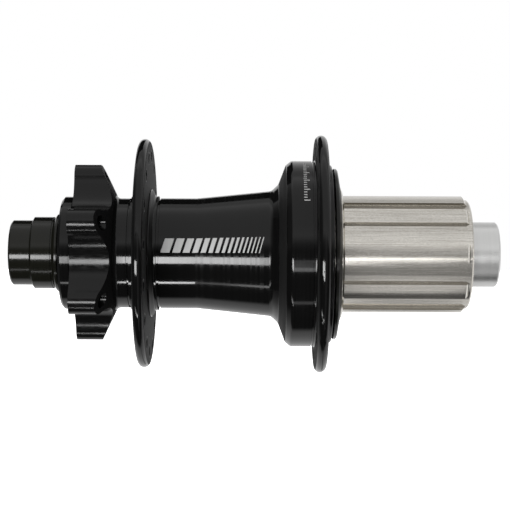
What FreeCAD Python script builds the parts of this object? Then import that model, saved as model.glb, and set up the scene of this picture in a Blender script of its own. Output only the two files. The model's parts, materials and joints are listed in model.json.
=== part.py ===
import FreeCAD, Part
import math
import os
from types import SimpleNamespace

import Sketcher

# Rear bicycle hub for a 12 mm through axle and 142 mm dropouts: six-bolt disc mount, 32 spoke holes,
# nine-spline freehub body and a six-pawl ratchet. The axle lies along X, with the driving side at +X.
# The origin is on the axle line, halfway between the two dropout faces. Z is up and Y points forward.

DRIVING_SIZES = {
    # Overall length and the through axle
    "hub_length": 142.0,
    "through_bore_r": 6.05,
    "bore_chamfer": 0.4,
    # Axle tube
    "axle_bore_r": 7.5,
    "axle_seat_r": 8.5,
    "axle_shoulder_r": 9.9,
    "axle_end_gap": 0.2,
    # End caps
    "cap_r": 9.5,
    "cap_chamfer": 0.5,
    "cap_spigot_r": 7.45,
    "cap_spigot_length": 14.0,
    "ring_groove_width": 1.0,
    "ring_groove_r": 6.75,
    "ring_groove_setback": 6.3,
    "o_ring_r": 0.36,
    "left_cap_step": 6.1,
    "left_cap_cone": 0.6,
    "left_cap_collar_r": 10.5,
    "left_cap_collar_end": -58.8,
    "left_cap_relief_r": 10.2,
    "left_cap_relief_end": -58.4,
    "left_cap_flare_r": 11.3,
    "left_cap_flare_start": -57.5,
    "left_cap_flare_end": -56.9,
    "left_cap_nose_r": 10.0,
    # Bearing places along the axle, each at the middle of its width
    "left_bearing_x": -50.5,
    "right_bearing_x": 2.0,
    "inner_bearing_x": 14.5,
    "outer_bearing_x": 49.4,
    # Shell bearings, 17 x 30 x 7
    "shell_bearing_width": 7.0,
    "shell_bearing_r": 15.0,
    "shell_pitch_r": 11.75,
    "shell_ball_r": 2.0,
    "shell_ball_count": 12,
    # Inboard freehub bearing, 17 x 26 x 5
    "slim_bearing_width": 5.0,
    "slim_bearing_r": 13.0,
    "slim_pitch_r": 10.75,
    "slim_ball_r": 1.2,
    "slim_ball_count": 18,
    # Outboard freehub bearing, 17 x 28 x 7
    "wide_bearing_width": 7.0,
    "wide_bearing_r": 14.0,
    "wide_pitch_r": 11.25,
    "wide_ball_r": 1.6,
    "wide_ball_count": 15,
    # What all four bearings share
    "race_share": 0.62,
    "ball_clearance": 0.06,
    "cage_half_thickness": 0.35,
    "cage_edge": 0.45,
    "seal_rebate_depth": 0.5,
    "seal_rebate_width": 0.55,
    "seal_setback": 0.1,
    "seal_thickness": 0.4,
    "seal_lip_gap": 0.08,
    # Sleeves on the axle
    "sleeve_r": 9.9,
    "sleeve_fit": 0.03,
    # Hub shell, left end and disc mount
    "shell_left_end": -55.9,
    "register_chamfer": 0.7,
    "register_r": 16.5,
    "register_groove_r": 16.1,
    "register_groove_width": 0.5,
    "disc_relief_r": 16.9,
    "disc_relief_depth": 0.3,
    "disc_face_x": -52.2,
    "lug_blank_r": 26.05,
    "lug_round_r": 3.9,
    "lug_trim_width": 2.5,
    "lug_trim_height": 2.0,
    "lug_outer_end": -44.6,
    "lug_corner": 0.3,
    "lug_back_end": -40.0,
    "lug_count": 6,
    "lug_turn": 7.7,
    "scallop_r": 10.8,
    "scallop_centre_r": 28.78,
    "disc_bolt_hole_r": 2.1,
    "disc_bolt_circle_r": 22.0,
    "neck_r": 16.06,
    "neck_groove_r": 15.6,
    "neck_groove_start": -36.4,
    "neck_groove_end": -35.8,
    # Left spoke flange
    "left_root_r": 16.7,
    "left_flange_x": -32.0,
    "left_flange_r": 33.45,
    "left_flange_thickness": 3.1,
    "left_spoke_circle_r": 28.7,
    "left_spoke_turn": 17.9,
    "left_inner_root_r": 18.7,
    "left_inner_root_end": -29.9,
    "left_ridge_r": 16.75,
    "left_ridge_start": -28.8,
    "left_ridge_end": -28.05,
    "left_ridge_groove_r": 15.8,
    "left_ridge_groove_end": -27.3,
    # Shell body
    "waist_r": 16.15,
    "waist_end": -16.8,
    "cone_end": 4.9,
    "cone_end_r": 18.4,
    "step_start": 7.0,
    "step_start_r": 20.4,
    "step_end": 9.1,
    "step_end_r": 26.0,
    "housing_start": 10.6,
    "housing_r": 27.2,
    # Right spoke flange and the shoulder outboard of it
    "housing_groove_start": 16.5,
    "housing_groove_end": 17.0,
    "housing_groove_r": 26.8,
    "right_flange_x": 19.3,
    "right_flange_r": 34.7,
    "right_flange_thickness": 3.3,
    "right_spoke_circle_r": 30.0,
    "right_spoke_turn": 6.65,
    "right_shoulder_r": 26.05,
    "shell_right_end": 22.35,
    "spoke_hole_r": 1.3,
    "spoke_hole_chamfer": 0.5,
    "spoke_holes_per_flange": 16,
    # Rounded edges of the shell
    "left_flange_round": 1.5,
    "right_flange_round": 1.6,
    "housing_round": 0.9,
    "cone_round": 1.8,
    "ridge_round": 0.5,
    "small_round": 0.3,
    # Shell bores
    "shell_bore_r": 12.6,
    "bearing_seat_end": 6.0,
    "relief_bore_r": 17.5,
    "ratchet_bore_start": 9.3,
    "ratchet_bore_r": 22.5,
    # Left dust seal
    "dust_seal_start": -55.7,
    "dust_seal_end": -54.2,
    "dust_seal_web_r": 12.0,
    "dust_seal_lip_end": -55.0,
    # Ratchet ring
    "ratchet_end": 19.5,
    "tooth_count": 54,
    "tooth_tip_r": 19.0,
    "tooth_root_r": 20.0,
    "tooth_face_turn": 19.3,
    "tooth_root_land": 2.8,
    "tooth_tip_land": 0.4,
    # Freehub body
    "carrier_start": 10.0,
    "carrier_end": 19.9,
    "carrier_r": 18.3,
    "carrier_chamfer": 0.3,
    "freehub_neck_r": 17.0,
    "freehub_shoulder_start": 24.9,
    "freehub_shoulder_end": 25.6,
    "freehub_shoulder_r": 19.5,
    "shoulder_bevel_length": 0.55,
    "shoulder_bevel_drop": 1.3,
    "spline_r": 17.1,
    "spline_end": 60.45,
    "spline_root_r": 16.0,
    "spline_chamfer_end": 61.3,
    "freehub_end": 62.4,
    "freehub_end_chamfer": 0.5,
    "spline_pitch": 40.0,
    "first_groove_start": 58.0,
    "wide_groove_turn": 22.6,
    "wide_groove_count": 8,
    "narrow_groove_start": 30.0,
    "narrow_groove_turn": 10.6,
    "lockring_bore_r": 14.7,
    "lockring_bore_start": 54.8,
    "clip_groove_start": 53.0,
    "clip_groove_end": 54.0,
    "freehub_bore_r": 11.5,
    # Retaining ring of the outboard bearing
    "clip_r": 14.65,
    "clip_inner_r": 12.7,
    "clip_play": 0.05,
    "clip_gap": 7.0,
    # Labyrinth shield and lip seal on the freehub body
    "shield_start": 23.0,
    "shield_r": 25.0,
    "shield_rim_end": 24.0,
    "shield_corner": 0.3,
    "lip_seal_start": 20.2,
    "lip_seal_end": 22.5,
    "lip_seal_body_r": 19.0,
    "lip_seal_r": 22.3,
    "lip_seal_tip_start": 21.2,
    "lip_seal_tip_end": 21.8,
    # Pawls, their pockets and leaf springs
    "pawl_start": 11.55,
    "pawl_width": 6.5,
    "pawl_play": 0.05,
    "pawl_pivot_r": 16.0,
    "pawl_heel_r": 1.7,
    "pawl_heel_clearance": 0.05,
    "pawl_nose_reach": 6.47,
    "pawl_nose_angle": 16.64,
    "pawl_back_reach": 4.839,
    "pawl_back_angle": 16.77,
    "pawl_toe_reach": 5.369,
    "pawl_toe_angle": 2.79,
    "pawl_count": 6,
    "pocket_top": 3.5,
    "pocket_front": 6.8,
    "pocket_front_depth": 0.55,
    "pocket_floor_angle": 60.0,
    "leaf_width": 3.0,
    "leaf_heel": 1.9,
    "leaf_foot_end": 4.6,
    "leaf_arm_end": 5.0,
    "leaf_thickness": 0.2,
    "leaf_heel_drop": 1.33,
    "leaf_foot_drop": 0.885,
    "leaf_fold": 2.6,
    "leaf_fold_drop": 1.03,
    "leaf_arm_rise": 0.07,
}


class Size:
    """A number that also remembers the spreadsheet expression that it comes from."""

    def __init__(self, value, text=None):
        self.value = float(value)
        self.text = repr(float(value)) if text is None else text

    def joined(self, other, sign, value):
        other = as_size(other)
        return Size(value(self.value, other.value), f"({self.text} {sign} {other.text})")

    def __add__(self, other):
        return self.joined(other, "+", lambda a, b: a + b)

    def __sub__(self, other):
        return self.joined(other, "-", lambda a, b: a - b)

    def __mul__(self, other):
        return self.joined(other, "*", lambda a, b: a * b)

    def __truediv__(self, other):
        return self.joined(other, "/", lambda a, b: a / b)

    def __neg__(self):
        return Size(-self.value, f"(0 - {self.text})")


def as_size(number):
    return number if isinstance(number, Size) else Size(number)


def cosine(degrees):
    return Size(math.cos(math.radians(degrees.value)), f"cos({degrees.text} * 1 deg)")


def sine(degrees):
    return Size(math.sin(math.radians(degrees.value)), f"sin({degrees.text} * 1 deg)")


def arc_tangent(ratio):
    return Size(math.degrees(math.atan(ratio.value)), f"(atan({ratio.text}) / 1 deg)")


def arc_cosine(ratio):
    return Size(math.degrees(math.acos(ratio.value)), f"(acos({ratio.text}) / 1 deg)")


doc = FreeCAD.newDocument("rear_hub")
sheet = doc.addObject("Spreadsheet::Sheet", "sizes")
for row, (alias, number) in enumerate(DRIVING_SIZES.items(), start=1):
    sheet.set(f"A{row}", alias)
    sheet.set(f"B{row}", str(number))
    sheet.setAlias(f"B{row}", alias)
doc.recompute()
d = SimpleNamespace(**{alias: Size(number, f"sizes.{alias}") for alias, number in DRIVING_SIZES.items()})

WHOLE_TURN = 360.0
QUARTER_TURN = 90.0
BEARING_KINDS = {"left": "shell", "right": "shell", "inner": "slim", "outer": "wide"}
BEARING_NAMES = {
    "left": "left_shell_bearing",
    "right": "right_shell_bearing",
    "inner": "inboard_freehub_bearing",
    "outer": "outboard_freehub_bearing",
}
nodes = []


# ---------------------------------------------------------------- modelling helpers

def new_body(label):
    body = doc.addObject("PartDesign::Body", label)
    body.Label = label
    nodes.append(body)
    return body


def origin_feature(body, role):
    return next(item for item in body.Origin.OriginFeatures if item.Role == role)


def new_sketch(body, name, plane, lift=None, turn=0.0):
    """A sketch on one of the body's origin planes, raised along its normal and turned about it."""
    sketch = body.newObject("Sketcher::SketchObject", f"{body.Label}_{name}")
    sketch.AttachmentSupport = [(origin_feature(body, plane), "")]
    sketch.MapMode = "FlatFace"
    height = 0.0 if lift is None else lift.value
    sketch.AttachmentOffset = FreeCAD.Placement(
        FreeCAD.Vector(0, 0, height),
        FreeCAD.Rotation(FreeCAD.Vector(0, 0, 1), turn),
    )
    if lift is not None:
        sketch.setExpression("AttachmentOffset.Base.z", lift.text)
    return sketch


def pin_points(sketch, pins):
    """Fix points of the sketch at bound distances from its origin: (geometry, point, x, y)."""
    constraints = []
    bindings = []
    for geometry, point, x, y in pins:
        for kind, axis, size in (("DistanceX", -2, as_size(x)), ("DistanceY", -1, as_size(y))):
            if size.value == 0.0:
                constraints.append(Sketcher.Constraint("PointOnObject", geometry, point, axis))
                bindings.append(None)
            else:
                constraints.append(Sketcher.Constraint(kind, -1, 1, geometry, point, size.value))
                bindings.append(size.text)
    numbers = sketch.addConstraint(constraints)
    for number, text in zip(numbers, bindings):
        if text is not None:
            sketch.setExpression(f"Constraints[{number}]", text)


def add_outline(sketch, corners):
    """A closed straight-sided outline with every corner pinned."""
    first = sketch.GeometryCount
    points = [FreeCAD.Vector(as_size(x).value, as_size(y).value, 0) for x, y in corners]
    lines = [Part.LineSegment(start, end) for start, end in zip(points, points[1:] + points[:1])]
    sketch.addGeometry(lines, False)
    count = len(points)
    joints = [
        Sketcher.Constraint("Coincident", first + place, 2, first + (place + 1) % count, 1)
        for place in range(count)
    ]
    sketch.addConstraint(joints)
    pin_points(sketch, [(first + place, 1, x, y) for place, (x, y) in enumerate(corners)])


def add_circle(sketch, x, y, radius):
    centre = FreeCAD.Vector(as_size(x).value, as_size(y).value, 0)
    circle = sketch.addGeometry(
        Part.Circle(centre, FreeCAD.Vector(0, 0, 1), radius.value),
        False,
    )
    pin_points(sketch, [(circle, 3, x, y)])
    number = sketch.addConstraint(Sketcher.Constraint("Radius", circle, radius.value))
    sketch.setExpression(f"Constraints[{number}]", radius.text)


def add_sector(sketch, inner_r, outer_r, start, turn):
    """A ring sector about the sketch's origin, from the angle start through the angle turn."""
    end = start + turn
    angles = [math.radians(start.value), math.radians(end.value)]
    normal = FreeCAD.Vector(0, 0, 1)
    origin = FreeCAD.Vector(0, 0, 0)

    def polar(radius, angle):
        return FreeCAD.Vector(radius.value * math.cos(angle), radius.value * math.sin(angle), 0)

    first_wall = Part.LineSegment(polar(inner_r, angles[0]), polar(outer_r, angles[0]))
    outer_arc = Part.ArcOfCircle(Part.Circle(origin, normal, outer_r.value), *angles)
    second_wall = Part.LineSegment(polar(outer_r, angles[1]), polar(inner_r, angles[1]))
    inner_arc = Part.ArcOfCircle(Part.Circle(origin, normal, inner_r.value), *angles)
    pieces = [first_wall, outer_arc, second_wall, inner_arc]
    wall_a, arc_out, wall_b, arc_in = sketch.addGeometry(pieces, False)
    sketch.addConstraint([
        Sketcher.Constraint("Coincident", arc_out, 3, -1, 1),
        Sketcher.Constraint("Coincident", arc_in, 3, -1, 1),
        Sketcher.Constraint("Coincident", wall_a, 2, arc_out, 1),
        Sketcher.Constraint("Coincident", arc_out, 2, wall_b, 1),
        Sketcher.Constraint("Coincident", wall_b, 2, arc_in, 2),
        Sketcher.Constraint("Coincident", arc_in, 1, wall_a, 1),
    ])
    for arc, radius in ((arc_out, outer_r), (arc_in, inner_r)):
        number = sketch.addConstraint(Sketcher.Constraint("Radius", arc, radius.value))
        sketch.setExpression(f"Constraints[{number}]", radius.text)
    for wall, point, angle in ((wall_a, 1, start), (wall_a, 2, start), (wall_b, 1, end), (wall_b, 2, end)):
        radius = inner_r if (wall, point) in ((wall_a, 1), (wall_b, 2)) else outer_r
        number = sketch.addConstraint(
            Sketcher.Constraint("DistanceX", -1, 1, wall, point, (radius * cosine(angle)).value)
        )
        sketch.setExpression(f"Constraints[{number}]", (radius * cosine(angle)).text)


def add_arch(sketch, centre_y, radius, foot_angle, overhang, height):
    """The space over a round-topped lug: an arc about (0, centre_y), and a square frame outside it."""
    middle = FreeCAD.Vector(0, centre_y.value, 0)
    circle = Part.Circle(middle, FreeCAD.Vector(0, 0, 1), radius.value)
    foot = math.radians(foot_angle.value)
    foot_x = radius * cosine(foot_angle)
    foot_y = centre_y + radius * sine(foot_angle)
    side = foot_x + overhang
    top = centre_y + radius + height
    corners = [
        (foot_x, foot_y),
        (side, foot_y),
        (side, top),
        (-side, top),
        (-side, foot_y),
        (-foot_x, foot_y),
    ]
    points = [FreeCAD.Vector(x.value, y.value, 0) for x, y in corners]
    arc = sketch.addGeometry(Part.ArcOfCircle(circle, foot, math.pi - foot), False)
    sides = sketch.addGeometry([Part.LineSegment(a, b) for a, b in zip(points, points[1:])], False)
    joints = [Sketcher.Constraint("Coincident", a, 2, b, 1) for a, b in zip(sides, sides[1:])]
    joints.append(Sketcher.Constraint("Coincident", arc, 1, sides[0], 1))
    joints.append(Sketcher.Constraint("Coincident", arc, 2, sides[-1], 2))
    sketch.addConstraint(joints)
    pins = [(line, 2, x, y) for line, (x, y) in zip(sides, corners[1:-1])]
    pin_points(sketch, [(arc, 3, 0.0, centre_y), *pins])
    for point, x in ((1, foot_x), (2, -foot_x)):
        number = sketch.addConstraint(Sketcher.Constraint("DistanceX", -1, 1, arc, point, x.value))
        sketch.setExpression(f"Constraints[{number}]", x.text)
    number = sketch.addConstraint(Sketcher.Constraint("Radius", arc, radius.value))
    sketch.setExpression(f"Constraints[{number}]", radius.text)


def checked_change(body, feature, sign):
    """Recompute, and make sure that the feature really added (+1) or removed (-1) material."""
    doc.recompute()
    before = feature.BaseFeature.Shape.Volume if feature.BaseFeature else 0.0
    change = (feature.Shape.Volume - before) * sign
    if change <= 0:
        raise RuntimeError(f"{feature.Label} changed nothing in {body.Label}")
    return feature


def revolve(body, sketch, cut=False):
    kind = "PartDesign::Groove" if cut else "PartDesign::Revolution"
    feature = body.newObject(kind, f"{sketch.Name}_turn")
    feature.Profile = sketch
    feature.ReferenceAxis = (sketch, ["H_Axis"])
    feature.Angle = WHOLE_TURN
    return checked_change(body, feature, -1 if cut else 1)


def extrude(body, sketch, length, cut=False, backwards=False):
    """Pad along the sketch's normal, or pocket along it when cut is set."""
    feature = body.newObject("PartDesign::Pocket" if cut else "PartDesign::Pad", f"{sketch.Name}_run")
    feature.Profile = sketch
    feature.setExpression("Length", length.text)
    feature.Reversed = cut != backwards
    return checked_change(body, feature, -1 if cut else 1)


def polar_pattern(body, name, originals, count, angle=WHOLE_TURN, sign=-1):
    pattern = body.newObject("PartDesign::PolarPattern", f"{body.Label}_{name}")
    pattern.Originals = originals
    pattern.Axis = (origin_feature(body, "X_Axis"), [""])
    pattern.setExpression("Angle", f"{as_size(angle).text} * 1 deg")
    pattern.setExpression("Occurrences", count.text)
    body.Tip = pattern
    doc.recompute()
    gain = (pattern.Shape.Volume - originals[-1].Shape.Volume) * sign
    if gain <= 0:
        raise RuntimeError(f"{pattern.Label} changed nothing in {body.Label}")
    return pattern


def turned_body(label, *outlines):
    """A piece turned about the axle line. Each outline is a list of (x, radius) corners."""
    body = new_body(label)
    body.AllowCompound = len(outlines) > 1
    sketch = new_sketch(body, "section", "XY_Plane")
    for corners in outlines:
        add_outline(sketch, corners)
    revolve(body, sketch)
    return body


def tube_corners(start, end, inner_r, outer_r):
    return [(start, inner_r), (start, outer_r), (end, outer_r), (end, inner_r)]


def round_edges(body, radius, places):
    """Fillet the turned edges that pass through the given (x, radius) places."""
    feature = body.Tip
    found = []
    for x, r in places:
        for number, edge in enumerate(feature.Shape.Edges, start=1):
            curve = edge.Curve
            is_ring = isinstance(curve, Part.Circle) and abs(curve.Radius - r.value) < 1e-4
            if is_ring and abs(curve.Center.x - x.value) < 1e-4:
                found.append(f"Edge{number}")
                break
        else:
            raise RuntimeError(f"{body.Label} has no turned edge at x={x.value}, r={r.value}")
    fillet = body.newObject("PartDesign::Fillet", f"{body.Label}_round")
    fillet.Base = (feature, found)
    fillet.setExpression("Radius", radius.text)
    doc.recompute()
    return fillet


# ---------------------------------------------------------------- axle group

def build_axle():
    left_seat = d.left_bearing_x - d.shell_bearing_width / 2
    right_face = d.outer_bearing_x + d.wide_bearing_width / 2
    shoulder_start = d.left_bearing_x + d.shell_bearing_width / 2
    shoulder_end = d.right_bearing_x - d.shell_bearing_width / 2
    turned_body("axle_tube", [
        (left_seat + d.axle_end_gap, d.axle_bore_r),
        (left_seat + d.axle_end_gap, d.axle_seat_r),
        (shoulder_start, d.axle_seat_r),
        (shoulder_start, d.axle_shoulder_r),
        (shoulder_end, d.axle_shoulder_r),
        (shoulder_end, d.axle_seat_r),
        (right_face - d.axle_end_gap, d.axle_seat_r),
        (right_face - d.axle_end_gap, d.axle_bore_r),
    ])


def spigot_corners(face, inward):
    """The plug of an end cap that enters the axle, with its O-ring groove. Inward is +1 or -1."""
    groove_start = face + d.ring_groove_setback * inward
    groove_end = groove_start + d.ring_groove_width * inward
    tip = face + d.cap_spigot_length * inward
    return [
        (face, d.cap_spigot_r),
        (groove_start, d.cap_spigot_r),
        (groove_start, d.ring_groove_r),
        (groove_end, d.ring_groove_r),
        (groove_end, d.cap_spigot_r),
        (tip - d.bore_chamfer * inward, d.cap_spigot_r),
        (tip, d.cap_spigot_r - d.bore_chamfer),
        (tip, d.through_bore_r),
    ]


def build_end_caps():
    left_end = -d.hub_length / 2
    left_face = d.left_bearing_x - d.shell_bearing_width / 2
    step = left_end + d.left_cap_step
    turned_body("left_end_cap", [
        (left_end + d.bore_chamfer, d.through_bore_r),
        (left_end, d.through_bore_r + d.bore_chamfer),
        (left_end, d.cap_r - d.cap_chamfer),
        (left_end + d.cap_chamfer, d.cap_r),
        (step, d.cap_r),
        (step + d.left_cap_cone, d.left_cap_collar_r),
        (d.left_cap_collar_end, d.left_cap_collar_r),
        (d.left_cap_collar_end, d.left_cap_relief_r),
        (d.left_cap_relief_end, d.left_cap_relief_r),
        (d.left_cap_flare_start, d.left_cap_flare_r),
        (d.left_cap_flare_end, d.left_cap_flare_r),
        (d.left_cap_flare_end, d.left_cap_nose_r),
        (left_face, d.left_cap_nose_r),
        *spigot_corners(left_face, 1),
    ])
    right_end = d.hub_length / 2
    right_face = d.outer_bearing_x + d.wide_bearing_width / 2
    turned_body("right_end_cap", [
        (right_end - d.bore_chamfer, d.through_bore_r),
        (right_end, d.through_bore_r + d.bore_chamfer),
        (right_end, d.cap_r - d.cap_chamfer),
        (right_end - d.cap_chamfer, d.cap_r),
        (right_face, d.cap_r),
        *spigot_corners(right_face, -1),
    ])
    for label, face, inward in (("left_cap_o_ring", left_face, 1), ("right_cap_o_ring", right_face, -1)):
        body = new_body(label)
        sketch = new_sketch(body, "section", "XY_Plane")
        middle = face + (d.ring_groove_setback + d.ring_groove_width / 2) * inward
        add_circle(sketch, middle, d.axle_bore_r - d.o_ring_r, d.o_ring_r)
        revolve(body, sketch)


def build_sleeves():
    inner_r = d.axle_seat_r + d.sleeve_fit
    turned_body("drive_side_spacer", tube_corners(
        d.right_bearing_x + d.shell_bearing_width / 2,
        d.inner_bearing_x - d.slim_bearing_width / 2,
        inner_r,
        d.sleeve_r,
    ))
    turned_body("freehub_bearing_spacer", tube_corners(
        d.inner_bearing_x + d.slim_bearing_width / 2,
        d.outer_bearing_x - d.wide_bearing_width / 2,
        inner_r,
        d.sleeve_r,
    ))


# ---------------------------------------------------------------- ball bearings

def cut_ball_track(body, x, pitch_r, track_r):
    sketch = new_sketch(body, "track", "XY_Plane")
    add_circle(sketch, x, pitch_r, track_r)
    revolve(body, sketch, cut=True)


def build_bearing(place):
    kind = BEARING_KINDS[place]
    label = BEARING_NAMES[place]
    x = getattr(d, f"{place}_bearing_x")
    half = getattr(d, f"{kind}_bearing_width") / 2
    outer_r = getattr(d, f"{kind}_bearing_r")
    pitch_r = getattr(d, f"{kind}_pitch_r")
    ball_r = getattr(d, f"{kind}_ball_r")
    count = getattr(d, f"{kind}_ball_count")
    inner_land_r = pitch_r - ball_r * d.race_share
    outer_land_r = pitch_r + ball_r * d.race_share
    rebate_r = outer_land_r + d.seal_rebate_depth
    track_r = ball_r + d.ball_clearance

    inner = turned_body(
        f"{label}_inner_race", tube_corners(x - half, x + half, d.axle_seat_r, inner_land_r),
    )
    cut_ball_track(inner, x, pitch_r, track_r)

    outer = turned_body(f"{label}_outer_race", [
        (x - half, rebate_r),
        (x - half, outer_r),
        (x + half, outer_r),
        (x + half, rebate_r),
        (x + half - d.seal_rebate_width, rebate_r),
        (x + half - d.seal_rebate_width, outer_land_r),
        (x - half + d.seal_rebate_width, outer_land_r),
        (x - half + d.seal_rebate_width, rebate_r),
    ])
    cut_ball_track(outer, x, pitch_r, track_r)

    seal_far = half - d.seal_setback
    seal_near = seal_far - d.seal_thickness
    lip_r = inner_land_r + d.seal_lip_gap
    turned_body(
        f"{label}_seals",
        tube_corners(x - seal_far, x - seal_near, lip_r, rebate_r),
        tube_corners(x + seal_near, x + seal_far, lip_r, rebate_r),
    )

    cage_half = ball_r + d.cage_edge
    cage = turned_body(f"{label}_cage", tube_corners(
        x - cage_half,
        x + cage_half,
        pitch_r - d.cage_half_thickness,
        pitch_r + d.cage_half_thickness,
    ))
    sketch = new_sketch(cage, "ball_hole", "XY_Plane")
    add_circle(sketch, x, 0.0, track_r)
    hole = extrude(cage, sketch, outer_r, cut=True)
    polar_pattern(cage, "ball_holes", [hole], count)

    balls = new_body(f"{label}_balls")
    balls.AllowCompound = True
    sketch = new_sketch(balls, "ball_section", "XZ_Plane")
    add_half_disc(sketch, x, pitch_r, ball_r)
    ball = balls.newObject("PartDesign::Revolution", f"{label}_ball")
    ball.Profile = sketch
    ball.ReferenceAxis = (sketch, ["Axis0"])
    ball.Angle = WHOLE_TURN
    checked_change(balls, ball, 1)
    polar_pattern(balls, "ball_ring", [ball], count, sign=1)


def add_half_disc(sketch, x, y, radius):
    """Half a disc beside a line parallel to the sketch's X axis, with that line as its axis."""
    centre = FreeCAD.Vector(x.value, y.value, 0)
    circle = Part.Circle(centre, FreeCAD.Vector(0, 0, 1), radius.value)
    arc, line, axis = sketch.addGeometry([
        Part.ArcOfCircle(circle, 0.0, math.pi),
        Part.LineSegment(
            FreeCAD.Vector(x.value - radius.value, y.value, 0),
            FreeCAD.Vector(x.value + radius.value, y.value, 0),
        ),
        Part.LineSegment(
            FreeCAD.Vector(x.value - radius.value, y.value, 0),
            FreeCAD.Vector(x.value + radius.value, y.value, 0),
        ),
    ], False)
    sketch.setConstruction(axis, True)
    sketch.addConstraint([
        Sketcher.Constraint("Coincident", arc, 2, line, 1),
        Sketcher.Constraint("Coincident", line, 2, arc, 1),
        Sketcher.Constraint("Coincident", axis, 1, line, 1),
        Sketcher.Constraint("Coincident", axis, 2, line, 2),
    ])
    pin_points(sketch, [(arc, 3, x, y), (line, 1, x - radius, y)])
    sketch.addConstraint(Sketcher.Constraint("Horizontal", line))


# ---------------------------------------------------------------- hub shell

def shell_corners():
    left_out = d.left_flange_x - d.left_flange_thickness / 2
    left_in = d.left_flange_x + d.left_flange_thickness / 2
    right_in = d.right_flange_x - d.right_flange_thickness / 2
    right_out = d.right_flange_x + d.right_flange_thickness / 2
    seat_end = d.left_bearing_x + d.shell_bearing_width / 2
    seat_start = d.right_bearing_x - d.shell_bearing_width / 2
    disc_mount = [
        (d.shell_left_end, d.register_r - d.register_chamfer),
        (d.shell_left_end + d.register_chamfer, d.register_r),
        (d.disc_face_x - d.register_groove_width, d.register_r),
        (d.disc_face_x - d.register_groove_width, d.register_groove_r),
        (d.disc_face_x + d.disc_relief_depth, d.register_groove_r),
        (d.disc_face_x + d.disc_relief_depth, d.disc_relief_r),
        (d.disc_face_x, d.disc_relief_r),
        (d.disc_face_x, d.lug_blank_r),
        (d.lug_outer_end - d.lug_corner, d.lug_blank_r),
        (d.lug_outer_end, d.lug_blank_r - d.lug_corner),
        (d.lug_back_end, d.neck_r),
        (d.neck_groove_start, d.neck_r),
        (d.neck_groove_start, d.neck_groove_r),
        (d.neck_groove_end, d.neck_groove_r),
        (d.neck_groove_end, d.left_root_r),
    ]
    left_flange = [
        (left_out, d.left_root_r),
        (left_out, d.left_flange_r),
        (left_in, d.left_flange_r),
        (left_in, d.left_inner_root_r),
        (d.left_inner_root_end, d.left_inner_root_r),
        (d.left_ridge_start, d.left_ridge_r),
        (d.left_ridge_end, d.left_ridge_r),
        (d.left_ridge_end, d.left_ridge_groove_r),
        (d.left_ridge_groove_end, d.left_ridge_groove_r),
        (d.left_ridge_groove_end, d.waist_r),
    ]
    body = [
        (d.waist_end, d.waist_r),
        (d.cone_end, d.cone_end_r),
        (d.step_start, d.step_start_r),
        (d.step_end, d.step_end_r),
        (d.housing_start, d.housing_r),
        (d.housing_groove_start, d.housing_r),
        (d.housing_groove_start, d.housing_groove_r),
        (d.housing_groove_end, d.housing_groove_r),
        (d.housing_groove_end, d.housing_r),
    ]
    right_flange = [
        (right_in, d.housing_r),
        (right_in, d.right_flange_r),
        (right_out, d.right_flange_r),
        (right_out, d.right_shoulder_r),
        (d.shell_right_end, d.right_shoulder_r),
    ]
    bores = [
        (d.shell_right_end, d.ratchet_bore_r),
        (d.ratchet_bore_start, d.ratchet_bore_r),
        (d.ratchet_bore_start, d.relief_bore_r),
        (d.bearing_seat_end, d.relief_bore_r),
        (d.bearing_seat_end, d.shell_bearing_r),
        (seat_start, d.shell_bearing_r),
        (seat_start, d.shell_bore_r),
        (seat_end, d.shell_bore_r),
        (seat_end, d.shell_bearing_r),
        (d.shell_left_end, d.shell_bearing_r),
    ]
    return disc_mount + left_flange + body + right_flange + bores


def round_shell_edges(body):
    left_out = d.left_flange_x - d.left_flange_thickness / 2
    left_in = d.left_flange_x + d.left_flange_thickness / 2
    right_in = d.right_flange_x - d.right_flange_thickness / 2
    right_out = d.right_flange_x + d.right_flange_thickness / 2
    round_edges(body, d.left_flange_round, [
        (left_out, d.left_flange_r),
        (left_in, d.left_flange_r),
        (left_out, d.left_root_r),
        (d.lug_back_end, d.neck_r),
    ])
    round_edges(body, d.right_flange_round, [
        (right_in, d.right_flange_r),
        (right_out, d.right_flange_r),
    ])
    round_edges(body, d.housing_round, [
        (d.step_start, d.step_start_r),
        (d.step_end, d.step_end_r),
        (d.housing_start, d.housing_r),
        (right_out, d.right_shoulder_r),
    ])
    round_edges(body, d.cone_round, [(d.cone_end, d.cone_end_r)])
    round_edges(body, d.ridge_round, [
        (right_in, d.housing_r),
        (d.left_ridge_start, d.left_ridge_r),
    ])
    round_edges(body, d.small_round, [
        (d.disc_face_x, d.lug_blank_r),
        (d.shell_right_end, d.right_shoulder_r),
        (d.left_inner_root_end, d.left_inner_root_r),
    ])


def cut_round_holes(body, name, start, length, circle_r, hole_r, count, turn):
    """A ring of holes parallel to the axle. Turn is measured from the top towards -Y."""
    sketch = new_sketch(body, name, "YZ_Plane", start, turn.value)
    add_circle(sketch, 0.0, circle_r, hole_r)
    hole = extrude(body, sketch, length, cut=True)
    polar_pattern(body, f"{name}_ring", [hole], count)


def round_lug_ends(body, depth, half_lug):
    """Trim each lug to an arc about its bolt hole, down to where the scallops run into it."""
    rise = d.scallop_centre_r * cosine(half_lug) - d.disc_bolt_circle_r
    foot_angle = arc_tangent(rise / (d.scallop_centre_r * sine(half_lug)))
    sketch = new_sketch(body, "lug_end", "YZ_Plane", d.disc_face_x, d.lug_turn.value)
    add_arch(
        sketch, d.disc_bolt_circle_r, d.lug_round_r, foot_angle, d.lug_trim_width, d.lug_trim_height,
    )
    trim = extrude(body, sketch, depth, cut=True)
    polar_pattern(body, "lug_ends", [trim], d.lug_count)


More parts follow.
